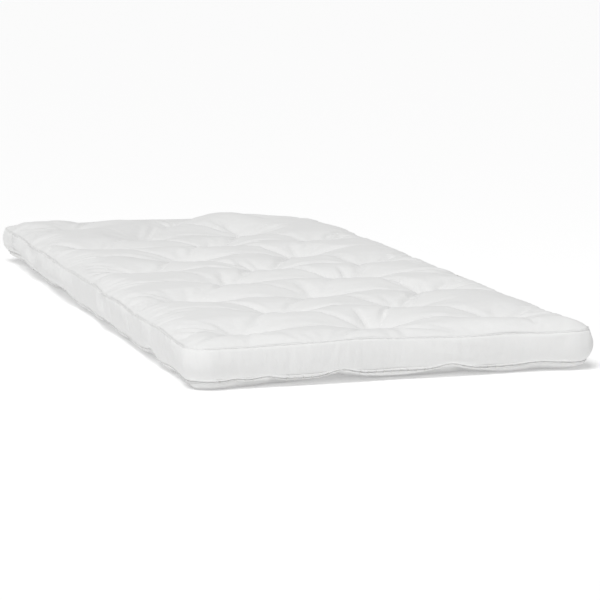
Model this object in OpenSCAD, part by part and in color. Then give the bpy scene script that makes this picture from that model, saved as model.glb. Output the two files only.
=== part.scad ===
// Tufted cotton futon mattress: a sewn cover of two panels and four border strips, filled with
// layers of cotton felt and tied through with cords. It folds in half across its width.
// The origin is the middle of the underside. +X is across the width, +Y points to the head end, +Z is up.

/* [Mattress] */
// Length from foot end to head end
length = 2000; // [1600:10:2200]
// Width from side to side
width = 900; // [700:10:1400]
// Height at the crowns between the tufts
height = 115; // [95:1:150]

/* [Edges] */
// Corner radius in plan, which is also the run over which an edge swells up to its crown
corner_r = 60; // [50:1:90]
// Height of the lower seam above the floor
low_seam_z = 18; // [10:1:25]
// Distance between the lower seam and the upper seam
border_w = 70; // [55:1:85]
// Distance from each end to the upright joins, where an end strip meets a side strip
join_offset = 110; // [80:5:200]

/* [Cover] */
// Thickness of the cotton drill
cover_t = 1.5; // [1.4:0.1:2.5]
// Radius of the sewn edge that stands along each seam
seam_r = 2.2; // [1.5:0.1:3]
// Radius of the upright joins in the border
join_r = 1.4; // [1:0.1:2]
// Gap between two sewn pieces
sewn_gap = 0.2; // [0.1:0.05:0.4]

/* [Filling] */
// Number of felt layers
felt_layers = 6; // [4:1:8]
// Gap between one layer and the next
layer_gap = 0.4; // [0.3:0.1:1]

/* [Tufting] */
// Rows of tufts along the length, an odd number
tuft_rows = 9; // [5:2:11]
// Tufts in the first row, the next row has one fewer
tuft_columns = 3; // [2:1:5]
// Distance from each end to the nearest row
end_margin = 146; // [130:1:200]
// Height of the cover's upper face at a tuft
tuft_top_z = 74; // [66:1:84]
// Height of the cover's lower face at a tuft
tuft_low_z = 24; // [16:1:30]
// Radius of the dimple round a tuft
dimple_r = 122; // [90:1:128]
// Radius of the flat that a cord pulls down
tuft_pad_r = 11; // [8:1:14]
// Radius of the tufting cord
cord_r = 1.2; // [0.8:0.1:1.6]
// Distance between a cord's two legs
cord_span = 9; // [8:0.5:12]
// Clearance round a cord where it passes through the felt
cord_gap = 0.2; // [0.1:0.05:0.5]

/* [Closing] */
// Length of one hand stitch
stitch_l = 9; // [6:1:14]
// Distance from one hand stitch to the next
stitch_pitch = 18; // [14:1:30]
// Radius of the closing thread
thread_r = 0.6; // [0.4:0.1:1]

/* [Care label] */
// Width of the label along the seam
label_w = 38; // [25:1:60]
// Length that hangs below the seam
label_l = 15; // [10:1:16]
// Thickness of the folded tape
label_t = 0.8; // [0.5:0.1:1.2]

/* [Fold] */
// Distance from the middle row of tufts to the fold, towards the head
fold_y = 14; // [8:1:20]
// Gap between the two halves at the fold
fold_gap = 0.8; // [0.6:0.1:2]

/* [Hidden] */
$fn = 64;

foot = -1;
head = 1;
top_seam_z = low_seam_z + border_w;
row_pitch = (length - 2 * end_margin) / (tuft_rows - 1);
column_pitch = width / tuft_columns;
edge_steps = 5;
dimple_steps = 5;
over = 20;  // how far a cutting shape runs past what it cuts
join_y = length / 2 - join_offset;
strip_low_z = low_seam_z + seam_r + sewn_gap;
strip_h = border_w - 2 * (seam_r + sewn_gap);
felt_inset = max(cover_t + 2 * join_r, 2 * seam_r) + layer_gap;
knot_r = cord_span / 2 - cord_r - cord_gap;  // the knot's lump fits between the cord's legs
tail_z = tuft_low_z - knot_r - sewn_gap;
cotton = [0.93, 0.93, 0.92];
felt = [0.90, 0.88, 0.82];
thread = [0.96, 0.96, 0.95];

// A face of the filling is given as [crown height, height at the seam, height at a tuft].
floor_face = [0, low_seam_z, tuft_low_z];
top_face = [height, top_seam_z, tuft_top_z];
floor_lining = [for (z = floor_face) z + cover_t];
top_lining = [for (z = top_face) z - cover_t];
function face_at(share) = floor_lining + (top_lining - floor_lining) * share;

// Height between the seam and the crown, a quarter ellipse over the run from 0 to 1.
function swell(run) = sqrt(1 - pow(1 - run, 2));
// Depth of a dimple as a share of the whole, from 1 at its pad to 0 at its rim.
function sink(run) = pow(1 - run, 1.8);

function row_y(row) = -length / 2 + end_margin + row * row_pitch;
function row_count(row) = tuft_columns - row % 2;
function tuft_x(row, i) = (i - (row_count(row) - 1) / 2) * column_pitch;
// Centres of the tufts whose dimples reach the given half.
function tufts_near(half) = [for (row = [0:tuft_rows - 1]) let (y = row_y(row))
    if (half * (y - fold_y) > -dimple_r) for (i = [0:row_count(row) - 1]) [tuft_x(row, i), y]];
// Centres of the tufts that are tied in the given half.
function tufts_of(half) = [for (t = tufts_near(half)) if (half * (t.y - fold_y) > 0) t];

module at_tufts(tufts)
    for (t = tufts) translate([t.x, t.y, 0]) children();

// Plan of the mattress, drawn in by inset all round.
module plan(inset) {
    r = corner_r - inset;
    square([width - 2 * corner_r, length - 2 * inset], center = true);
    square([width - 2 * inset, length - 2 * corner_r], center = true);
    for (x = [-1, 1], y = [-1, 1])
        translate([x * (width / 2 - corner_r), y * (length / 2 - corner_r)]) circle(r);
}

// Keeps the foot half or the head half of a plan shape.
module plan_half(half)
    intersection() {
        children();
        translate([-width, half > 0 ? fold_y + fold_gap / 2 : -length])
            square([2 * width, half > 0 ? length : length + fold_y - fold_gap / 2]);
    }

// Section through an edge, below the given face, with x = 0 where the crown begins.
module edge_section(face)
    polygon([[0, -over], [corner_r + over, -over], [corner_r + over, face[1]],
        for (i = [0:edge_steps]) let (run = i / edge_steps)
            [corner_r * (1 - run), face[1] + (face[0] - face[1]) * swell(run)]]);

// Everything below a face with no tufts in it.
module below_crown(face) {
    x = width / 2 - corner_r;
    y = length / 2 - corner_r;
    translate([-x, -y, -over]) cube([2 * x, 2 * y, face[0] + over]);
    for (side = [0, 180]) rotate(side) {
        translate([x, y, 0]) rotate([90, 0, 0]) linear_extrude(2 * y) edge_section(face);
        rotate(90) translate([y, x, 0]) rotate([90, 0, 0]) linear_extrude(2 * x) edge_section(face);
        translate([x, y, 0]) rotate_extrude(angle = 90) edge_section(face);
        translate([x, -y, 0]) rotate([0, 0, -90]) rotate_extrude(angle = 90) edge_section(face);
    }
}

// A dimple's solid: it hangs from the crown for an upper face, and stands on it for a lower one.
module dimple(face) {
    way = face[0] > face[2] ? 1 : -1;
    depth = face[0] - face[2];
    rotate_extrude() polygon([[0, face[2]],
        for (i = [0:dimple_steps - 1]) let (run = i / dimple_steps)
            [tuft_pad_r + (dimple_r - tuft_pad_r) * run, face[0] - depth * sink(run)],
        [dimple_r, face[0] + way * 1], [0, face[0] + way * 1]]);
}

// Everything below a tufted face.
module below(face, tufts)
    if (face[0] > face[2]) difference() {
        below_crown(face);
        at_tufts(tufts) dimple(face);
    } else union() {
        below_crown(face);
        at_tufts(tufts) dimple(face);
    }

module cord_holes(tufts)
    at_tufts(tufts) for (x = [-1, 1])
        translate([x * cord_span / 2, 0, -over]) cylinder(h = height + 2 * over, r = cord_r + cord_gap);

// One half of a sheet that lies between two faces, pierced for the cords.
module sheet_between(low, high, inset, half)
    difference() {
        intersection() {
            below(high, tufts_near(half));
            translate([0, 0, -over / 2]) linear_extrude(height + over) plan_half(half) plan(inset);
        }
        below(low, tufts_near(half));
        cord_holes(tufts_of(half));
    }

module top_panel(half)
    color(cotton) sheet_between(top_lining, top_face, 2 * seam_r + sewn_gap, half);

module bottom_panel(half)
    color(cotton) sheet_between(floor_face, floor_lining, 2 * seam_r + sewn_gap, half);

module felt_layer(number, half)
    color(felt) sheet_between(face_at((number - 1) / felt_layers) + layer_gap / 2 * [1, 1, 1],
        face_at(number / felt_layers) - layer_gap / 2 * [1, 1, 1], felt_inset, half);

// The border's wall, cut to the part of the plan that its children cover.
module border_strip()
    color(cotton) translate([0, 0, strip_low_z]) linear_extrude(strip_h) intersection() {
        difference() {
            plan(0);
            plan(cover_t);
        }
        children();
    }

module border_end(half) {
    strip_end = join_y + join_r + sewn_gap;
    border_strip() translate([-width, half > 0 ? strip_end : -length])
        square([2 * width, length - strip_end]);
}

module border_side(side, half) {
    strip_end = join_y - join_r - sewn_gap;
    border_strip() translate([side > 0 ? 0 : -width, half > 0 ? fold_y + fold_gap / 2 : -strip_end])
        square([width, strip_end - half * fold_y - fold_gap / 2]);
}

// One half of the sewn edge that runs round the mattress at the given height.
module seam(z, half) {
    x = width / 2 - corner_r;
    end_y = half * (length / 2 - corner_r);
    side_l = half * (end_y - fold_y) - fold_gap / 2;
    r = corner_r - seam_r;
    color(thread) translate([0, 0, z]) {
        for (side = [-1, 1]) {
            translate([side * (x + r), end_y, 0]) rotate([half * 90, 0, 0]) cylinder(h = side_l, r = seam_r);
            translate([side * x, end_y, 0]) rotate(side * half > 0 ? 90 - 90 * side : -90 * side)
                rotate_extrude(angle = 90) translate([r, 0]) circle(seam_r);
        }
        translate([-x, end_y + half * r, 0]) rotate([0, 90, 0]) cylinder(h = 2 * x, r = seam_r);
    }
}

// The two upright joins of one end.
module border_joins(half)
    color(thread) for (side = [-1, 1])
        translate([side * (width / 2 - join_r), half * join_y, strip_low_z])
            cylinder(h = strip_h, r = join_r);

// A cord passes down through the mattress to its knot, and its bridge lies in the dimple on top.
module tuft_cord() {
    low_z = tail_z + cord_r;
    bridge_z = tuft_top_z + cord_r;
    for (x = [-1, 1]) translate([x * cord_span / 2, 0, low_z]) {
        cylinder(h = bridge_z - low_z, r = cord_r);
        translate([0, 0, bridge_z - low_z]) sphere(cord_r);
    }
    translate([-cord_span / 2, 0, bridge_z]) rotate([0, 90, 0]) cylinder(h = cord_span, r = cord_r);
}

// The knot under the mattress, turned about its bar: the bar lies across both legs, with a lump in its
// middle, and runs on as two tails to the edge of the flat.
module tuft_knot()
    translate([0, 0, tail_z]) rotate([0, 90, 0]) rotate_extrude()
        polygon([[0, -tuft_pad_r], [cord_r, -tuft_pad_r], [cord_r, -knot_r], [knot_r, -knot_r / 2],
            [knot_r, knot_r / 2], [cord_r, knot_r], [cord_r, tuft_pad_r], [0, tuft_pad_r]]);

module tuft_cords(half) color(thread) at_tufts(tufts_of(half)) tuft_cord();

module tuft_knots(half) color(thread) at_tufts(tufts_of(half)) tuft_knot();

// Hand stitches that close the foot end along the lower seam.
module closing_stitches() {
    run = width - 2 * corner_r - stitch_l;
    count = floor(run / stitch_pitch);
    y = -length / 2 - thread_r - sewn_gap;
    color(thread) for (i = [0:count])
        translate([(i - count / 2) * stitch_pitch, y, low_seam_z - stitch_l / 2])
            cylinder(h = stitch_l, r = thread_r);
}

// A folded tape that hangs from the lower seam at the head end.
module care_label()
    color(thread) translate([width / 4, length / 2 + sewn_gap, low_seam_z - label_l])
        cube([label_w, label_t, label_l]);

top_panel(foot);  // top_panel_foot
top_panel(head);  // top_panel_head
bottom_panel(foot);  // bottom_panel_foot
bottom_panel(head);  // bottom_panel_head
border_end(foot);  // border_foot_end
border_end(head);  // border_head_end
border_side(-1, foot);  // border_left_foot
border_side(-1, head);  // border_left_head
border_side(1, foot);  // border_right_foot
border_side(1, head);  // border_right_head
seam(top_seam_z, foot);  // top_seam_foot
seam(top_seam_z, head);  // top_seam_head
seam(low_seam_z, foot);  // bottom_seam_foot
seam(low_seam_z, head);  // bottom_seam_head
border_joins(foot);  // border_joins_foot
border_joins(head);  // border_joins_head
for (number = [1:felt_layers]) {
    felt_layer(number, foot);
    felt_layer(number, head);
}
tuft_cords(foot);  // tuft_cords_foot
tuft_cords(head);  // tuft_cords_head
tuft_knots(foot);  // tuft_knots_foot
tuft_knots(head);  // tuft_knots_head
closing_stitches();
care_label();
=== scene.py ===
import math

import bpy
import numpy as np
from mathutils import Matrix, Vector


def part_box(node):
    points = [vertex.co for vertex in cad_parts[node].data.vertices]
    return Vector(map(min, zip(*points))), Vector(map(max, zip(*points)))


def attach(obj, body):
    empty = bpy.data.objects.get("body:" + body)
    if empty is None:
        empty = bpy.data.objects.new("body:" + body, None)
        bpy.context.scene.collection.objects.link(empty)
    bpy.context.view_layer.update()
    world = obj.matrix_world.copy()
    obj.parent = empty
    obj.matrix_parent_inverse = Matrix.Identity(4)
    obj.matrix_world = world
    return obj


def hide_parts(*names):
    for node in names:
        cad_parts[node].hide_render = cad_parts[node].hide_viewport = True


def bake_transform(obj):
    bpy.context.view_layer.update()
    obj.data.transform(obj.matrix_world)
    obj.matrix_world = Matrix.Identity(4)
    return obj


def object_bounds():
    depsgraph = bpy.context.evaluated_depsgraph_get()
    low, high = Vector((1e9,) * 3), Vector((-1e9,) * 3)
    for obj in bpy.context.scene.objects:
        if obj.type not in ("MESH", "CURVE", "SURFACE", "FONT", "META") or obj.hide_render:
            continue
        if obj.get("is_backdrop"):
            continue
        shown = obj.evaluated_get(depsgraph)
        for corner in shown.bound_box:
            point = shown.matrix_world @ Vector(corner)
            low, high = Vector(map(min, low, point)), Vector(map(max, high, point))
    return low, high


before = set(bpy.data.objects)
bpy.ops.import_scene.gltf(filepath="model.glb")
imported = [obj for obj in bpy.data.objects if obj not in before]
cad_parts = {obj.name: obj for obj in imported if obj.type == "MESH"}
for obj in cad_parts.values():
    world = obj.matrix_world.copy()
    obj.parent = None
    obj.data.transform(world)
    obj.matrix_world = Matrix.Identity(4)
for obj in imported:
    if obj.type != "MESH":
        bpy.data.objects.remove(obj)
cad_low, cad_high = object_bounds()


# The camera stands low, off the left corner of the foot end, with a long lens.
camera = bpy.data.objects.new("camera", bpy.data.cameras.new("camera"))
bpy.context.scene.collection.objects.link(camera)
bpy.context.scene.camera = camera
camera.location = (-1.765, -5.992, 1.026)
camera.rotation_euler = (math.radians(90 - 9.15), 0, math.radians(-17.31))
camera.data.sensor_width = 36
camera.data.lens = 152.8
camera.data.clip_end = 200


# The seam lines. The cover's panels are sewn to its border along an upper and a lower line, which the
# filling and the tufting cords pull out of true: in beside the outer tufts, and up and down in waves.
corner_r = 0.06
half_w = cad_high.x
half_l = -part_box("top_seam_foot")[0].y
seam_r = (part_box("top_seam_foot")[1].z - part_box("top_seam_foot")[0].z) / 2
top_seam_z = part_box("top_seam_foot")[1].z - seam_r
low_seam_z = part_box("bottom_seam_foot")[1].z - seam_r
crown_z = cad_high.z
girth = 4 * (half_w + half_l - 2 * corner_r) + math.tau * corner_r
pull_pitch_x = 0.3
pull_pitch_y = 0.427


def hump(t, middle, spread):
    """A smooth hump of height 1 at the middle."""
    return np.exp(-(((t - middle) / spread) ** 2))


def outline(s):
    """Points of the plan at distances s from the middle of the foot end, going towards +X."""
    s = np.mod(np.asarray(s, float), girth)
    straight_w, straight_l, bend = half_w - corner_r, half_l - corner_r, math.pi / 2 * corner_r
    x, y = np.zeros_like(s), np.zeros_like(s)
    start = -straight_w
    turns = ((1, -1, straight_w), (1, 1, straight_l), (-1, 1, straight_w), (-1, -1, straight_l))
    for quarter, (cx, cy, half_run) in enumerate(turns):
        angle = quarter * math.pi / 2
        along = s - start if quarter else np.mod(s - start, girth)
        on_run = (along >= 0) & (along < 2 * half_run)
        on_bend = (along >= 2 * half_run) & (along < 2 * half_run + bend)
        centre = np.array([cx * straight_w, cy * straight_l])
        out = np.array([math.sin(angle), -math.cos(angle)])
        way = np.array([math.cos(angle), math.sin(angle)])
        run_x = centre[0] + out[0] * corner_r + way[0] * (along - 2 * half_run)
        run_y = centre[1] + out[1] * corner_r + way[1] * (along - 2 * half_run)
        turn = angle - math.pi / 2 + (along - 2 * half_run) / corner_r
        x = np.where(on_run, run_x, np.where(on_bend, centre[0] + corner_r * np.cos(turn), x))
        y = np.where(on_run, run_y, np.where(on_bend, centre[1] + corner_r * np.sin(turn), y))
        start += 2 * half_run + bend
    return x, y


def outwards(x, y):
    """The plan direction that faces out at points on or near the outline."""
    out_x = np.sign(x) * np.maximum(np.abs(x) - half_w + corner_r, 0)
    out_y = np.sign(y) * np.maximum(np.abs(y) - half_l + corner_r, 0)
    size = np.maximum(np.hypot(out_x, out_y), 1e-9)
    return out_x / size, out_y / size


def out_of_square(x, y):
    """The filled cover isn't square: three corners stand out, the head end's right one is drawn in."""
    new_x, new_y = x, y
    corners = ((1, -1, 0.014, 0.10), (-1, -1, 0.002, 0.10), (-1, 1, 0.012, 0.10), (1, 1, -0.022, 0.20))
    for corner_x, corner_y, push, spread in corners:
        near = push * hump(np.hypot(x - corner_x * half_w, y - corner_y * half_l), 0, spread)
        new_x = new_x + corner_x * near
        new_y = new_y + corner_y * near
    return new_x, new_y


def seam_place(x, y, level):
    """Where the upper (level 1) or lower (level 0) seam lies at outline points, after filling."""
    out_x, out_y = outwards(x, y)
    foot, head = np.maximum(-out_y, 0), np.maximum(out_y, 0)
    left, side = np.maximum(-out_x, 0), np.abs(out_x)
    beside_tuft = side * (0.5 + 0.5 * np.cos(math.tau * y / pull_pitch_y))
    beside_tuft += np.abs(out_y) * (0.5 + 0.5 * np.cos(math.tau * x / pull_pitch_x))
    drawn_in = 0.0035 * beside_tuft + 0.0012 * np.sin(37 * x + 23 * y + 2 * level)
    drawn_in -= 0.022 * head * hump(x, -0.05, 0.28)
    drawn_in += side * 0.0007 * np.sin(265 * y + 3 * np.sin(11 * y + level))
    sunk = 0.0006 * side * np.sin(240 * y + 2 * np.sin(9 * y))
    if level == 1:
        z = top_seam_z + 0.0012 * np.sin(29 * y + 17 * x) + sunk
        z = z + foot * (0.006 * hump(x, -0.12, 0.17) - 0.004 * hump(x, 0.33, 0.06))
        z = z + left * (0.006 * hump(y, -0.72, 0.12) + 0.005 * hump(y, -0.1, 0.25))
        z = z + 0.004 * hump(np.hypot(x + half_w, y - half_l), 0, 0.25) + 0.008 * head * hump(x, 0.0, 0.3)
        z = z - 0.007 * hump(np.hypot(x - half_w, y - half_l), 0, 0.25)
    else:
        z = low_seam_z + 0.0015 * np.sin(31 * y + 13 * x + 1) + sunk
        for at, lift, spread in ((-0.345, 4, 0.02), (-0.28, 7, 0.028), (-0.115, 12, 0.035),
                                 (0.13, 11, 0.035), (0.33, 5, 0.04)):
            z = z + foot * lift / 1000 * hump(x, at, spread)
        z = z + left * (0.008 * hump(y, -0.64, 0.05) + 0.006 * hump(y, -0.2, 0.10))
        z = z + left * (0.010 * hump(y, 0.30, 0.16) + 0.012 * hump(y, 0.85, 0.22))
        z = z + 0.007 * hump(np.hypot(x + half_w, y - half_l), 0, 0.2)
        drawn_in = drawn_in + 0.006 + 0.006 * left * hump(y, -0.64, 0.04) + 0.005 * left
    seam_x, seam_y = out_of_square(x - out_x * drawn_in, y - out_y * drawn_in)
    return np.stack([seam_x, seam_y, z], axis=-1)


# The tufting pattern: rows of three and two tufts by turns, marked on the cover before it is filled.
# Hand tufting wanders off the marks across the width, by the amounts given for each row.
cord_r = 0.0012
cord_span = 0.009
tuft_rows = 9
first_row_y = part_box("tuft_cords_foot")[0].y + cord_r
last_row_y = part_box("tuft_cords_head")[1].y - cord_r
tuft_top_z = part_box("tuft_cords_foot")[1].z - 2 * cord_r
tuft_low_z = 0.024
wander = [[0.004, 0.0, 0.002], [0.004, -0.011], [0.009, 0.006, -0.007], [0.01, 0.0],
          [0.014, 0.008, -0.013], [0.014, 0.014], [-0.014, 0.0, -0.014], [0.009, -0.009],
          [0.011, 0.006, 0.0]]
tufts = []
for row, shifts in enumerate(wander):
    row_y = first_row_y + (last_row_y - first_row_y) * row / (tuft_rows - 1)
    for i, shift in enumerate(shifts):
        tufts.append(((i - (len(shifts) - 1) / 2) * 2 * half_w / 3 + shift, row_y))
tufts = np.array(tufts)


def bends(piece):
    """Bakes a piece's placement into its points."""
    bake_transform(piece)


# The cloth: white cotton drill, a stout twill. Each piece is cut flat and larger than the place it is
# sewn into, so it puckers along its seams, and the filling presses it out between seams and tufts.
cloth_t = 0.0012


def points_of(mesh):
    """A mesh's points as an array."""
    flat = np.zeros(3 * len(mesh.vertices))
    mesh.vertices.foreach_get("co", flat)
    return flat.reshape(-1, 3)


def new_grid(name, across, along):
    """A flat grid of cells one unit across and along, from (0, 0) to (1, 1), and its shares."""
    bpy.ops.object.select_all(action="DESELECT")
    bpy.ops.mesh.primitive_grid_add(x_subdivisions=across, y_subdivisions=along, size=1)
    piece = bpy.context.object
    piece.name = name
    piece.data.name = name
    shares = points_of(piece.data)[:, :2] + 0.5
    return piece, shares[:, 0], shares[:, 1]


def on_edge(share):
    """Which of a grid's points lie on either edge, by their shares."""
    return (share < 1e-6) | (share > 1 - 1e-6)


def set_points(piece, points):
    """Puts a mesh's points where they are given."""
    piece.data.vertices.foreach_set("co", np.ascontiguousarray(points, float).ravel())
    piece.data.update()


def lay_threads(piece, across, along):
    """Gives a cloth piece a UV map in metres of flat cloth, for the weave to follow."""
    threads = piece.data.uv_layers.new(name="threads")
    corners = np.zeros(len(piece.data.loops), int)
    piece.data.loops.foreach_get("vertex_index", corners)
    threads.data.foreach_set("uv", np.stack([across[corners], along[corners]], axis=-1).ravel())


def sew(piece, cut, sewn, held, pressure, frames, bend=0.2):
    """Drapes a flat cut: its held points move to where they are sewn, and the filling presses it."""
    set_points(piece, cut)
    piece.shape_key_add(name="cut")
    place = piece.shape_key_add(name="sewn")
    place.data.foreach_set("co", np.ascontiguousarray(sewn, float).ravel())
    place.value = 0
    place.keyframe_insert("value", frame=1)
    place.value = 1
    place.keyframe_insert("value", frame=10)
    piece.vertex_groups.new(name="held").add([int(i) for i in np.flatnonzero(held)], 1, "REPLACE")
    cloth = piece.modifiers.new("cloth", "CLOTH")
    drill = cloth.settings
    drill.quality = 6
    drill.mass = 0.3
    drill.tension_stiffness = 60
    drill.compression_stiffness = 60
    drill.shear_stiffness = 5
    drill.bending_stiffness = bend
    drill.tension_damping = 10
    drill.compression_damping = 10
    drill.shear_damping = 10
    drill.bending_damping = 1
    drill.air_damping = 1
    drill.vertex_group_mass = "held"
    drill.pin_stiffness = 1
    drill.use_pressure = True
    drill.uniform_pressure_force = pressure
    drill.effector_weights.gravity = 0
    cloth.collision_settings.use_collision = False
    cloth.collision_settings.use_self_collision = False
    scene = bpy.context.scene
    scene.frame_start = 1
    scene.frame_end = frames
    cloth.point_cache.frame_start = 1
    cloth.point_cache.frame_end = frames
    for step in range(1, frames + 1):
        scene.frame_set(step)
    draped = piece.evaluated_get(bpy.context.evaluated_depsgraph_get())
    points = points_of(draped.data)
    piece.modifiers.clear()
    piece.shape_key_clear()
    piece.vertex_groups.clear()
    piece.animation_data_clear()
    scene.frame_set(1)
    set_points(piece, points)
    return points


def ease(points, across, along, share):
    """Evens out a draped grid a little, as stout cloth does, with its edges left alone."""
    grid = points.reshape(along + 1, across + 1, 3)
    inner = grid[1:-1, 1:-1]
    around = (grid[:-2, 1:-1] + grid[2:, 1:-1] + grid[1:-1, :-2] + grid[1:-1, 2:]) / 4
    grid[1:-1, 1:-1] = inner + share * (around - inner)
    return grid.reshape(-1, 3)


def thicken(piece):
    """Gives draped cloth its thickness, inwards."""
    bpy.ops.object.select_all(action="DESELECT")
    piece.select_set(True)
    bpy.context.view_layer.objects.active = piece
    wall = piece.modifiers.new("cloth thickness", "SOLIDIFY")
    wall.thickness = cloth_t
    wall.offset = -1
    bpy.ops.object.modifier_apply(modifier=wall.name)
    piece.data.shade_smooth()


def add_weave():
    """The weave of cotton drill, as a height and a tone that change over the cloth."""
    group = bpy.data.node_groups.new("drill_weave", "ShaderNodeTree")
    group.interface.new_socket("Place", in_out="INPUT", socket_type="NodeSocketVector")
    group.interface.new_socket("Rib pitch", in_out="INPUT", socket_type="NodeSocketFloat")
    group.interface.new_socket("Height", in_out="OUTPUT", socket_type="NodeSocketFloat")
    group.interface.new_socket("Tone", in_out="OUTPUT", socket_type="NodeSocketFloat")
    nodes, links = group.nodes, group.links
    entry = nodes.new("NodeGroupInput")
    leave = nodes.new("NodeGroupOutput")
    scale = nodes.new("ShaderNodeVectorMath")
    scale.operation = "SCALE"
    count = nodes.new("ShaderNodeMath")
    count.operation = "DIVIDE"
    count.inputs[0].default_value = 1
    links.new(entry.outputs["Rib pitch"], count.inputs[1])
    links.new(entry.outputs["Place"], scale.inputs[0])
    links.new(count.outputs[0], scale.inputs["Scale"])
    rib = nodes.new("ShaderNodeTexWave")
    rib.wave_type = "BANDS"
    rib.bands_direction = "DIAGONAL"
    rib.inputs["Scale"].default_value = 0.32
    rib.inputs["Distortion"].default_value = 0.4
    yarn = nodes.new("ShaderNodeTexNoise")
    yarn.inputs["Scale"].default_value = 0.9
    yarn.inputs["Detail"].default_value = 3
    slub = nodes.new("ShaderNodeTexNoise")
    slub.inputs["Scale"].default_value = 0.05
    slub.inputs["Detail"].default_value = 4
    for texture in (rib, yarn, slub):
        links.new(scale.outputs[0], texture.inputs["Vector"])
    height = nodes.new("ShaderNodeMix")
    height.inputs["Factor"].default_value = 0.4
    links.new(rib.outputs["Fac"], height.inputs["A"])
    links.new(yarn.outputs["Fac"], height.inputs["B"])
    links.new(height.outputs["Result"], leave.inputs["Height"])
    tone = nodes.new("ShaderNodeMix")
    tone.inputs["Factor"].default_value = 0.35
    links.new(slub.outputs["Fac"], tone.inputs["A"])
    links.new(yarn.outputs["Fac"], tone.inputs["B"])
    links.new(tone.outputs["Result"], leave.inputs["Tone"])
    return group


def add_creases():
    """Fine soft creases, longer one way than the other, as a height that changes over the cloth."""
    group = bpy.data.node_groups.new("soft_creases", "ShaderNodeTree")
    group.interface.new_socket("Place", in_out="INPUT", socket_type="NodeSocketVector")
    group.interface.new_socket("Stretch", in_out="INPUT", socket_type="NodeSocketVector")
    group.interface.new_socket("Height", in_out="OUTPUT", socket_type="NodeSocketFloat")
    nodes, links = group.nodes, group.links
    entry = nodes.new("NodeGroupInput")
    leave = nodes.new("NodeGroupOutput")
    stretch = nodes.new("ShaderNodeVectorMath")
    stretch.operation = "MULTIPLY"
    links.new(entry.outputs["Place"], stretch.inputs[0])
    links.new(entry.outputs["Stretch"], stretch.inputs[1])
    crease = nodes.new("ShaderNodeTexNoise")
    crease.inputs["Scale"].default_value = 1
    crease.inputs["Detail"].default_value = 3
    crease.inputs["Roughness"].default_value = 0.45
    crease.inputs["Distortion"].default_value = 0.6
    links.new(stretch.outputs[0], crease.inputs["Vector"])
    links.new(crease.outputs["Fac"], leave.inputs["Height"])
    return group


drill_weave = add_weave()
soft_creases = add_creases()
rib_pitch = 0.0012


def new_look(name, roughness, specular, sheen):
    """A new material, its nodes and links, and its surface."""
    material = bpy.data.materials.new(name)
    material.use_nodes = True
    nodes, links = material.node_tree.nodes, material.node_tree.links
    surface = nodes["Principled BSDF"]
    surface.inputs["Roughness"].default_value = roughness
    surface.inputs["Specular IOR Level"].default_value = specular
    surface.inputs["Sheen Weight"].default_value = sheen
    return material, nodes, links, surface


def mixed_colour(nodes, low, high):
    """A colour between two given ones."""
    colour = nodes.new("ShaderNodeMix")
    colour.data_type = "RGBA"
    colour.inputs[6].default_value = low
    colour.inputs[7].default_value = high
    return colour


def add_bump(nodes, links, height, depth, strength, under=None):
    """A bump of a given depth, laid over another one where there is one."""
    bump = nodes.new("ShaderNodeBump")
    bump.inputs["Distance"].default_value = depth
    bump.inputs["Strength"].default_value = strength
    links.new(height, bump.inputs["Height"])
    if under:
        links.new(under.outputs["Normal"], bump.inputs["Normal"])
    return bump


def woven(nodes, links, place, stretch):
    """The weave and the creases in a material, which follow the given place."""
    weave = nodes.new("ShaderNodeGroup")
    weave.node_tree = drill_weave
    weave.inputs["Rib pitch"].default_value = rib_pitch
    creases = nodes.new("ShaderNodeGroup")
    creases.node_tree = soft_creases
    creases.inputs["Stretch"].default_value = stretch
    links.new(place, weave.inputs["Place"])
    links.new(place, creases.inputs["Place"])
    return weave, creases


def cotton_drill(name, stretch, crease_depth):
    """White cotton drill, with its weave and fine creases."""
    material, nodes, links, cloth = new_look(name, 0.92, 0.25, 0.12)
    cloth.inputs["Sheen Roughness"].default_value = 0.6
    threads = nodes.new("ShaderNodeUVMap")
    threads.uv_map = "threads"
    weave, creases = woven(nodes, links, threads.outputs["UV"], stretch)
    colour = mixed_colour(nodes, (0.815, 0.817, 0.81, 1), (0.865, 0.865, 0.862, 1))
    links.new(weave.outputs["Tone"], colour.inputs[0])
    links.new(colour.outputs[2], cloth.inputs["Base Color"])
    crease_bump = add_bump(nodes, links, creases.outputs["Height"], crease_depth, 1)
    weave_bump = add_bump(nodes, links, weave.outputs["Height"], 0.00025, 0.35, crease_bump)
    links.new(weave_bump.outputs["Normal"], cloth.inputs["Normal"])
    return material


# The two panels: the top and the bottom of the cover, each one piece of drill, cut with rounded
# corners. They are sewn down all round and tied to each other at every tuft.
def into_plan(share_x, share_y, inset):
    """Places of a grid's points in the plan, with its corner squares bent round."""
    x = (2 * share_x - 1) * (half_w - inset)
    y = (2 * share_y - 1) * (half_l - inset)
    r = corner_r - inset
    turn_x = np.clip((np.abs(x) - half_w + corner_r) / r, 0, 1)
    turn_y = np.clip((np.abs(y) - half_l + corner_r) / r, 0, 1)
    at_corner = (turn_x > 0) & (turn_y > 0)
    round_x = np.sign(x) * (half_w - corner_r + r * turn_x * np.sqrt(1 - turn_y ** 2 / 2))
    round_y = np.sign(y) * (half_l - corner_r + r * turn_y * np.sqrt(1 - turn_x ** 2 / 2))
    return np.where(at_corner, round_x, x), np.where(at_corner, round_y, y)


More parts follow.
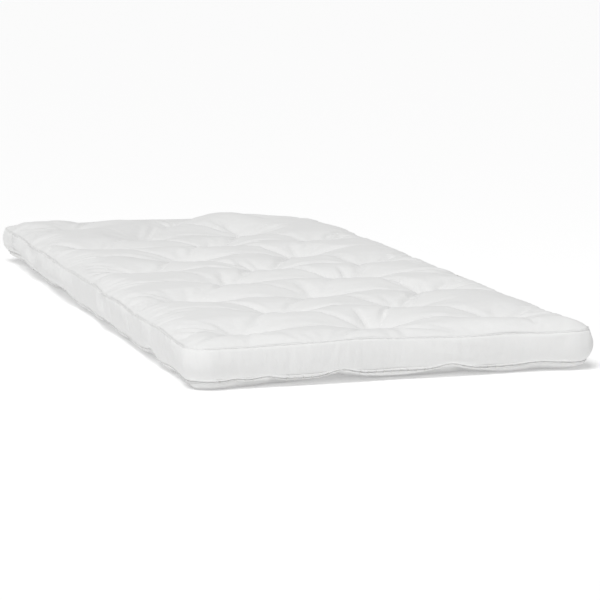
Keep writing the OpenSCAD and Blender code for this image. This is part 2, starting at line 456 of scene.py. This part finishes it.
def panel(name, cell, level, tuft_z, crown, slack, pressure, frames):
    """Cuts, sews and ties one panel of the cover, and gives its points."""
    across, along = round(2 * half_w / cell), round(2 * half_l / cell)
    piece, share_x, share_y = new_grid(name, across, along)
    x, y = into_plan(share_x, share_y, 0.0)
    seam_z = top_seam_z if level else low_seam_z
    rough = np.random.default_rng(11 + level).normal(0, 0.0003, len(x))
    held = on_edge(share_x) | on_edge(share_y)
    depth = np.minimum(np.minimum(share_x, 1 - share_x) * half_w, np.minimum(share_y, 1 - share_y) * half_l)
    bulge = (crown - seam_z) * np.clip(2 * depth / 0.1, 0, 1)
    seam = seam_place(x[held], y[held], level)
    x, y = out_of_square(x, y)
    cut = np.stack([x * (1 + slack[0]), y * (1 + slack[1]), seam_z + 0.7 * bulge + rough], axis=-1)
    sewn = np.stack([x, y, seam_z + bulge], axis=-1)
    sewn[held] = seam
    for tuft_x, tuft_y in tufts:
        for side in (-1, 1):
            leg_x = tuft_x + side * cord_span / 2
            nearest = np.argmin(np.hypot(x - leg_x, y - tuft_y))
            sewn[nearest] = (leg_x, tuft_y, tuft_z)
            held[nearest] = True
    points = sew(piece, cut, sewn, held, pressure, frames)
    points = ease(points, across, along, 0.35)
    lay_threads(piece, cut[:, 0], cut[:, 1])
    return piece, points, across, along


def plump(points, across, along, ceiling, share):
    """The felt is firmer than air: it holds the cloth up close to each tuft, and dips are narrow."""
    grid = points[:, 2].reshape(along + 1, across + 1)
    broad = grid.copy()
    for _ in range(12):
        padded = np.pad(broad, 1, mode="edge")
        broad = (padded[:-2, 1:-1] + padded[2:, 1:-1] + padded[1:-1, :-2] + padded[1:-1, 2:]) / 4
    from_tuft = np.min(np.hypot(points[:, :1] - tufts[:, 0], points[:, 1:2] - tufts[:, 1]), axis=1)
    from_edge = np.minimum(half_w - np.abs(points[:, 0]), half_l - np.abs(points[:, 1]))
    reach = np.clip((from_tuft - 0.006) / 0.055, 0, 1) * np.clip(from_edge / 0.07, 0, 1)
    reach = reach * reach * (3 - 2 * reach)
    crisp = 0.6 * reach * (points[:, 2] - broad.ravel())
    return points[:, 2] + crisp + share * reach * np.maximum(ceiling - broad.ravel(), 0)


# The cloth is flattened softly where it would stand above the crowns, and it swells at the head end.
top_slack = (0.025, 0.05)
crown_room = 0.004
crown_give = 0.0045
swell_height = 0.018
top_panel, top_points, top_across, top_along = panel(
    "top_panel", 0.0075, 1, tuft_top_z, crown_z, top_slack, 12, 26)
top_points[:, 2] = plump(top_points, top_across, top_along, crown_z - crown_room, 0.2)
head_swell = 0.7 * hump(top_points[:, 0], -0.17, 0.18) + hump(top_points[:, 0], 0.19, 0.13)
head_swell = head_swell * np.clip((top_points[:, 1] - 0.72) / 0.16, 0, 1)
head_swell = head_swell * np.clip((half_l + 0.03 - top_points[:, 1]) / 0.1, 0, 1)
soft_limit = crown_z - crown_room + swell_height * head_swell
top_points[:, 2] += swell_height * head_swell
proud = np.maximum(top_points[:, 2] - soft_limit, 0)
top_points[:, 2] = np.minimum(top_points[:, 2], soft_limit) + crown_give * np.tanh(proud / crown_give)
set_points(top_panel, top_points)
thicken(top_panel)

low_slack = (0.012, 0.02)
bottom_panel, low_points, low_across, low_along = panel(
    "bottom_panel", 0.0125, 0, tuft_low_z, 0.0, low_slack, -12, 20)
low_points[:, 2] = np.maximum(low_points[:, 2], 0)
set_points(bottom_panel, low_points)
bottom_panel.data.flip_normals()
thicken(bottom_panel)

panel_drill = cotton_drill("panel_drill", (28, 60, 1), 0.0012)
for piece, nodes in ((top_panel, ("top_panel_foot", "top_panel_head")),
                     (bottom_panel, ("bottom_panel_foot", "bottom_panel_head"))):
    piece.data.materials.append(panel_drill)
    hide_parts(*nodes)
    bends(piece)


# The border: four strips of drill round the sides, joined upright a hand's width from each corner, so
# that the end strips wrap the corners. They are gathered to the seams, and the filling bulges them.
join_y = (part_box("border_joins_head")[0].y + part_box("border_joins_head")[1].y) / 2
border_rows = 10
border_bulge = 0.010
join_pinch = 0.007


def bow_out(x, y, share_h):
    """How far the border stands out between its seams. It is fullest at the corners."""
    at_corner = hump(np.hypot(np.abs(x) - half_w, np.abs(y) - half_l), 0, 0.12)
    bow = border_bulge * (1 + 0.45 * at_corner) * np.abs(np.sin(math.pi * share_h ** 0.9)) ** 0.85
    return 0.0007 + bow


def border_strip(name, start, end, gather, spare, firm):
    """Cuts and sews one strip of the border, from start to end round the outline."""
    length = end - start
    steps = round(length / 0.006)
    piece, share_s, share_h = new_grid(name, steps, border_rows)
    x, y = outline(start + share_s * length)
    out_x, out_y = outwards(x, y)
    low = seam_place(x, y, 0)
    high = seam_place(x, y, 1)
    bow = bow_out(x, y, share_h)
    sewn = low + (high - low) * share_h[:, None]
    at_join = on_edge(share_s)
    proud = np.where(at_join, bow - join_pinch * np.sin(math.pi * share_h), bow)
    sewn = sewn + np.stack([out_x * proud, out_y * proud, 0 * x], axis=-1)
    held = at_join | on_edge(share_h)
    middle = np.array([0, (y.min() + y.max()) / 2, (low_seam_z + top_seam_z) / 2])
    cut = np.stack([x, y, low_seam_z + (top_seam_z - low_seam_z) * share_h], axis=-1)
    cut = middle + (cut - middle) * np.array([1 + gather, 1 + gather, 1 + spare])
    rough = np.random.default_rng(15).normal(0, 0.0004, len(x))
    cut += np.stack([out_x, out_y, 0 * x], axis=-1) * (rough + 0.5 * bow)[:, None]
    points = sew(piece, cut, sewn, held, 9, 22, bend=0.15)
    points = ease(points, steps, border_rows, 0.2)
    full = np.maximum(firm, hump(np.hypot(np.abs(x) - half_w, np.abs(y) - half_l), 0, 0.1))[:, None]
    points = points + full * (sewn - points)
    around = start + share_s * length
    pleat = np.sin(262 * around + 4 * np.sin(17 * around)) * (0.6 + 0.4 * np.sin(51 * around))
    pleat = pleat * share_h ** 1.5 * (1 - share_h) * 0.014 * (1 - firm) ** 2
    points = points + np.stack([out_x * pleat, out_y * pleat, 0 * x], axis=-1)
    set_points(piece, points)
    lay_threads(piece, share_s * length * (1 + gather), share_h * (top_seam_z - low_seam_z) * (1 + spare))
    thicken(piece)
    piece.data.materials.append(border_drill)
    return piece


border_drill = cotton_drill("border_drill", (70, 16, 1), 0.0016)
corner_run = half_w - corner_r + math.pi / 2 * corner_r
to_join = corner_run + (half_l - corner_r - join_y)
side_run = 2 * join_y
border_foot = border_strip("foot_strip", -to_join, to_join, 0.012, 0.03, 0.6)
head_start, head_end = to_join + side_run, girth - to_join - side_run
border_head = border_strip("head_strip", head_start, head_end, 0.012, 0.03, 0.6)
border_right = border_strip("right_strip", to_join, head_start, 0.04, 0.035, 0.3)
border_left = border_strip("left_strip", head_end, girth - to_join, 0.04, 0.035, 0.3)
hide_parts("border_foot_end")
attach(border_foot, "foot_half")
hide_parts("border_head_end")
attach(border_head, "head_half")
for piece, side in ((border_left, "left"), (border_right, "right")):
    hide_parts(f"border_{side}_foot", f"border_{side}_head")
    bends(piece)


# The seams: the raw edges of panel and border, folded together and sewn through, stand along each
# seam line as a firm rounded ridge. The stitches nip it at short steps. Just above the lower seam of
# the foot end, the strip's hem shows as a second line.
def ridge(name, runs, thickness, sides=2):
    """Round ridges as one mesh. Each run is (points, is it a ring, share of the thickness)."""
    line = bpy.data.curves.new(name, "CURVE")
    line.dimensions = "3D"
    line.bevel_depth = thickness
    line.bevel_resolution = sides
    line.use_fill_caps = True
    for points, ring, swell in runs:
        spline = line.splines.new("POLY")
        spline.points.add(len(points) - 1)
        spline.points.foreach_set("co", np.column_stack([points, np.ones(len(points))]).ravel())
        spline.points.foreach_set("radius", swell)
        spline.use_cyclic_u = ring
    piece = bpy.data.objects.new(name, line)
    bpy.context.scene.collection.objects.link(piece)
    bpy.ops.object.select_all(action="DESELECT")
    piece.select_set(True)
    bpy.context.view_layer.objects.active = piece
    bpy.ops.object.convert(target="MESH")
    piece = bpy.context.object
    piece.data.shade_smooth()
    return piece


def folded_edge(name, nip_shade_colour, ridge_highlight_colour, nip):
    """The folded drill of a seam, nipped by its stitches. Its colour is lighter than the panels' drill, a
    painted highlight along the ridge, and darker in the hollows of the nips, painted shade.
    """
    material, nodes, links, cloth = new_look(name, 0.9, 0.25, 0.1)
    place = nodes.new("ShaderNodeTexCoord")
    weave, creases = woven(nodes, links, place.outputs["Object"], (160, 160, 60))
    # The colour follows the nips' height: darker in their hollows, painted shade, and lighter on their
    # crests, a painted highlight.
    colour = mixed_colour(nodes, nip_shade_colour, ridge_highlight_colour)
    links.new(creases.outputs["Height"], colour.inputs[0])
    links.new(colour.outputs[2], cloth.inputs["Base Color"])
    nip_bump = add_bump(nodes, links, creases.outputs["Height"], nip, 1)
    weave_bump = add_bump(nodes, links, weave.outputs["Height"], 0.0002, 0.5, nip_bump)
    links.new(weave_bump.outputs["Normal"], cloth.inputs["Normal"])
    return material


# The seams' cloth is painted lighter than the panels' drill, a painted highlight along the ridges, with
# painted shade in the nips.
seam_drill = folded_edge("seam_drill", (0.84, 0.84, 0.835, 1), (0.91, 0.91, 0.905, 1), 0.0015)
seam_step = 0.004
ridge_share = 0.45
hem_count = 160
round_all = np.arange(0, girth, seam_step)
for name, level, out, lift in (("top_seam", 1, 0.0003, 0.0006), ("bottom_seam", 0, 0.0012, -0.0006)):
    x, y = outline(round_all)
    out_x, out_y = outwards(x, y)
    line = seam_place(x, y, level) + np.stack([out_x * out, out_y * out, 0 * x + lift], axis=-1)
    nips = ridge_share + 0.1 * np.sin(round_all * 260) * np.sin(round_all * 41 + level)
    runs = [(line, True, nips)]
    if level == 0:
        hem_x = np.linspace(-half_w + corner_r, half_w - corner_r, hem_count)
        hem_y = np.full(hem_count, -half_l)
        share = 0.09 + 0.015 * np.sin(hem_x * 23)
        hem = seam_place(hem_x, hem_y, 0)
        hem = hem + (seam_place(hem_x, hem_y, 1) - hem) * share[:, None]
        hem[:, 1] -= bow_out(hem_x, hem_y, share) - 0.0002
        runs.append((hem, False, np.full(hem_count, ridge_share)))
    seam = ridge(name, runs, seam_r)
    seam.data.materials.append(seam_drill)
    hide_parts(f"{name}_foot", f"{name}_head")
    bends(seam)


# The upright joins: where an end strip meets a side strip, the two raw ends are sewn together and
# turned in, which leaves a narrow ridge in a shallow groove.
join_rows = 12
join_r = 0.0008
for end_name, end in (("foot", -1), ("head", 1)):
    runs = []
    for side in (-1, 1):
        share_h = np.linspace(0.02, 0.98, join_rows)
        x = np.full(join_rows, side * half_w)
        y = np.full(join_rows, end * join_y)
        low, high = seam_place(x, y, 0), seam_place(x, y, 1)
        proud = bow_out(x, y, share_h) - join_pinch * np.sin(math.pi * share_h)
        line = low + (high - low) * share_h[:, None]
        line[:, 0] += side * (proud - join_r)
        runs.append((line, False, np.full(join_rows, 1.0)))
    joins = ridge(f"border_joins_{end_name}", runs, join_r)
    joins.name = f"joins_{end_name}"
    joins.data.materials.append(seam_drill)
    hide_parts(f"border_joins_{end_name}")
    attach(joins, f"{end_name}_half")


# The filling: layers of carded cotton felt, stacked in the cover and pressed into its shape. The
# cords draw them together at each tuft, so every layer is thinner and dished there.
felt_layers = 6
felt_cell = 0.02
felt_gap = 0.0006
felt_inset = 0.02
cover_clearance = 0.0025
felt_least = 0.012
felt_across, felt_along = round(2 * half_w / felt_cell), round(2 * half_l / felt_cell)


def pressed_face(points, across, along, keep):
    """Heights of a draped panel's grid on the felt's coarser one, at its innermost nearby places."""
    grid = points.reshape(along + 1, across + 1, 3)[:, :, 2]
    face = np.zeros((felt_along + 1, felt_across + 1))
    for j in range(felt_along + 1):
        at_j = j * along / felt_along
        reach_j = 1.2 * along / felt_along
        rows = slice(max(0, math.floor(at_j - reach_j)), math.ceil(at_j + reach_j) + 1)
        for i in range(felt_across + 1):
            at_i = i * across / felt_across
            reach_i = 1.2 * across / felt_across
            columns = slice(max(0, math.floor(at_i - reach_i)), math.ceil(at_i + reach_i) + 1)
            face[j, i] = keep(grid[rows, columns])
    return face.ravel()


felt_top = pressed_face(top_points, top_across, top_along, np.min) - cloth_t - cover_clearance
felt_low = pressed_face(low_points, low_across, low_along, np.max) + cloth_t + cover_clearance
felt_top = np.maximum(felt_top, felt_low + felt_least)


def cotton_felt():
    """Carded cotton: cream, matt and fibrous, with flecks of seed husk."""
    material, nodes, links, felt = new_look("cotton_felt", 1, 0.1, 0.25)
    place = nodes.new("ShaderNodeTexCoord")
    fibres = nodes.new("ShaderNodeTexNoise")
    fibres.inputs["Scale"].default_value = 420
    fibres.inputs["Detail"].default_value = 5
    fibres.inputs["Distortion"].default_value = 2.5
    tufting = nodes.new("ShaderNodeTexNoise")
    tufting.inputs["Scale"].default_value = 45
    tufting.inputs["Detail"].default_value = 4
    husk = nodes.new("ShaderNodeTexVoronoi")
    husk.inputs["Scale"].default_value = 90
    for texture in (fibres, tufting, husk):
        links.new(place.outputs["Object"], texture.inputs["Vector"])
    speck = nodes.new("ShaderNodeMapRange")
    speck.inputs["From Min"].default_value = 0.02
    speck.inputs["From Max"].default_value = 0.06
    links.new(husk.outputs["Distance"], speck.inputs["Value"])
    cream = mixed_colour(nodes, (0.76, 0.71, 0.60, 1), (0.86, 0.83, 0.76, 1))
    links.new(tufting.outputs["Fac"], cream.inputs[0])
    flecked = nodes.new("ShaderNodeMix")
    flecked.data_type = "RGBA"
    flecked.inputs[6].default_value = (0.42, 0.33, 0.20, 1)
    links.new(speck.outputs["Result"], flecked.inputs[0])
    links.new(cream.outputs[2], flecked.inputs[7])
    links.new(flecked.outputs[2], felt.inputs["Base Color"])
    bump = add_bump(nodes, links, fibres.outputs["Fac"], 0.0012, 1)
    links.new(bump.outputs["Normal"], felt.inputs["Normal"])
    return material


felt_material = cotton_felt()
for number in range(1, felt_layers + 1):
    layer, share_x, share_y = new_grid(f"felt_{number}", felt_across, felt_along)
    x, y = out_of_square(*into_plan(share_x, share_y, felt_inset))
    low = felt_low + (felt_top - felt_low) * (number - 1) / felt_layers + felt_gap / 2
    high = felt_low + (felt_top - felt_low) * number / felt_layers - felt_gap / 2
    bpy.ops.object.mode_set(mode="EDIT")
    bpy.ops.mesh.select_all(action="SELECT")
    bpy.ops.mesh.extrude_region_move(TRANSFORM_OT_translate={"value": (0, 0, 1)})
    bpy.ops.object.mode_set(mode="OBJECT")
    stacked = points_of(layer.data)
    raised = stacked[:, 2] > 0.5
    column = np.rint((stacked[:, 0] + 0.5) * felt_across).astype(int)
    row = np.rint((stacked[:, 1] + 0.5) * felt_along).astype(int)
    order = row * (felt_across + 1) + column
    set_points(layer, np.stack([x[order], y[order], np.where(raised, high[order], low[order])], axis=-1))
    bpy.ops.object.mode_set(mode="EDIT")
    bpy.ops.mesh.select_all(action="SELECT")
    bpy.ops.mesh.normals_make_consistent(inside=False)
    bpy.ops.object.mode_set(mode="OBJECT")
    layer.data.shade_smooth()
    layer.data.materials.append(felt_material)
    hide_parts(f"felt_{number}_foot", f"felt_{number}_head")
    bends(layer)


# The tufting cords: at each tuft a twisted cotton cord goes down through the mattress, across under
# it and back up, and its bridge draws the cover down. It is knotted underneath, with two short tails.
def twisted_cord():
    """Cotton cord, laid in a visible twist, with painted shade in the grooves between its strands."""
    material, nodes, links, cord = new_look("tufting_cord", 0.85, 0.5, 0.1)
    place = nodes.new("ShaderNodeTexCoord")
    lay = nodes.new("ShaderNodeTexWave")
    lay.bands_direction = "DIAGONAL"
    lay.inputs["Scale"].default_value = 220
    lay.inputs["Distortion"].default_value = 1
    links.new(place.outputs["Object"], lay.inputs["Vector"])
    # The colour follows the lay's bands as the bump does: darker in the grooves between the strands,
    # painted shade.
    colour = mixed_colour(nodes, (0.80, 0.79, 0.76, 1), (0.90, 0.895, 0.88, 1))
    links.new(lay.outputs["Fac"], colour.inputs[0])
    links.new(colour.outputs[2], cord.inputs["Base Color"])
    bump = add_bump(nodes, links, lay.outputs["Fac"], 0.0004, 1)
    links.new(bump.outputs["Normal"], cord.inputs["Normal"])
    return material


cord_material = twisted_cord()
knot_z = tuft_low_z - 0.0045
half_span = cord_span / 2
leg = np.linspace(knot_z, tuft_top_z, 8)
arch = np.linspace(0, math.pi, 7)[1:-1]
knot_size = 0.0013
cord_runs = []
knot_runs = []
for number, (tuft_x, tuft_y) in enumerate(tufts):
    left = [(-half_span, 0, z) for z in leg]
    over = [(-half_span * math.cos(a), 0, tuft_top_z + cord_r * (0.4 + 0.5 * math.sin(a))) for a in arch]
    right = [(half_span, 0, z) for z in leg[::-1]]
    path = np.array(left + over + right) + (tuft_x, tuft_y, 0)
    cord_runs.append((path, False, np.full(len(path), 1.0)))
    turn = np.linspace(0.35, math.tau - 0.35, 22)
    loop = np.stack([np.sin(turn) + 2 * np.sin(2 * turn), np.cos(turn) - 2 * np.cos(2 * turn),
                     -np.sin(3 * turn)], axis=-1) * knot_size
    spin = 0.9 * math.sin(5 * number)
    tail = np.linspace(0.2, 1, 6)[:, None]
    away = np.array([math.cos(spin), math.sin(spin), 0])
    first = loop[0] + tail[::-1] * (away * 0.016 + np.array([0.002, -0.005, -0.009]))
    last = loop[-1] + tail * (-away * 0.015 + np.array([-0.002, -0.004, -0.010]))
    knot = np.concatenate([first, loop, last]) + (tuft_x, tuft_y, knot_z - 0.003)
    knot[:, 2] = np.maximum(knot[:, 2], cord_r + 0.001)
    knot_runs.append((knot, False, np.full(len(knot), 1.0)))
for name, runs in (("tuft_cords", cord_runs), ("tuft_knots", knot_runs)):
    piece = ridge(name, runs, cord_r, sides=1)
    piece.data.materials.append(cord_material)
    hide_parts(f"{name}_foot", f"{name}_head")
    bends(piece)


# The closing stitches: the foot end is filled last, and its lower seam is closed by hand with a row
# of slip stitches over the folded edge.
stitch_pitch = 0.018
stitch_r = 0.0007
stitch_rise = 0.004
slant = np.array([-0.0015, -0.001, 0, 0.001, 0.0015])
over_seam = np.array([0.0012, 0.0026, 0.0036, 0.0030, 0.0022])
stitch_runs = []
closed_run = half_w - corner_r - 0.01
for middle in np.arange(-closed_run, closed_run, stitch_pitch):
    stitch = seam_place(middle + slant, np.full(len(slant), -half_l), 0)
    stitch[:, 1] -= over_seam
    stitch[:, 2] += np.linspace(-stitch_rise, stitch_rise, len(slant))
    stitch_runs.append((stitch, False, np.full(len(slant), 1.0)))
stitches = ridge("stitches", stitch_runs, stitch_r, sides=1)
stitches.name = "foot_end_stitches"
stitches.data.materials.append(cord_material)
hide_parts("closing_stitches")
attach(stitches, "foot_half")


# The care label: a plain tape, folded in half and caught in the lower seam at the head end.
label_low, label_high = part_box("care_label")
label_w = label_high.x - label_low.x
label_l = label_high.z - label_low.z
flap_share = 0.45
tape_t = 0.0003
label, share_x, share_z = new_grid("head_end_label", 10, 24)
label_x = label_low.x + share_x * label_w
fold_turn = np.clip((share_z - flap_share) / 0.1, 0, 1) * math.pi
drop = np.minimum(np.where(share_z < 0.5, share_z, 1 - share_z), flap_share) / flap_share
label_y = label_low.y + 0.0006 - 0.0005 * np.cos(fold_turn) + 0.004 * drop ** 2 * (0.6 + 0.4 * share_x)
label_z = label_high.z - drop * (label_l - 0.0015) - 0.0006 * np.sin(fold_turn)
set_points(label, np.stack([label_x, label_y, label_z], axis=-1))
lay_threads(label, share_x * label_w, share_z * 2 * label_l)
tape = label.modifiers.new("tape thickness", "SOLIDIFY")
tape.thickness = tape_t
tape.offset = 0
bpy.ops.object.modifier_apply(modifier=tape.name)
label.data.shade_smooth()
label.data.materials.append(cotton_drill("label_tape", (90, 90, 1), 0.0003))
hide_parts("care_label")
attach(label, "head_half")


# The floor and the light: a plain white floor, an even white room, and soft light from the front left.
bpy.ops.object.select_all(action="DESELECT")
bpy.ops.mesh.primitive_plane_add(size=120)
floor = bpy.context.object
floor.name = "floor"
floor_paint = bpy.data.materials.new("floor_paint")
floor_paint.use_nodes = True
surface = floor_paint.node_tree.nodes["Principled BSDF"]
surface.inputs["Base Color"].default_value = (0.9, 0.9, 0.9, 1)
surface.inputs["Roughness"].default_value = 1
surface.inputs["Emission Color"].default_value = (1, 1, 1, 1)
surface.inputs["Emission Strength"].default_value = 0.21
floor.data.materials.append(floor_paint)
floor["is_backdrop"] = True


def aim(name, light, place):
    """Hangs a light at a place, aimed at the middle of the mattress."""
    lamp = bpy.data.objects.new(name, light)
    bpy.context.scene.collection.objects.link(lamp)
    lamp.location = place
    lamp.rotation_euler = (-lamp.location).to_track_quat("-Z", "Y").to_euler()


sky = bpy.data.lights.new("sky", "SUN")
sky.energy = 1.76
sky.angle = math.radians(35)
aim("sky", sky, (-1.8, -1.9, 5.65))
key = bpy.data.lights.new("key", "AREA")
key.energy = 8
key.size = 1.2
aim("key", key, (-0.9, -1.7, 2.6))
room = bpy.data.worlds.new("room")
bpy.context.scene.world = room
room.use_nodes = True
background = room.node_tree.nodes["Background"]
background.inputs["Color"].default_value = (1, 1, 1, 1)
background.inputs["Strength"].default_value = 0.35
bpy.context.scene.view_settings.view_transform = "Standard"

low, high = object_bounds()
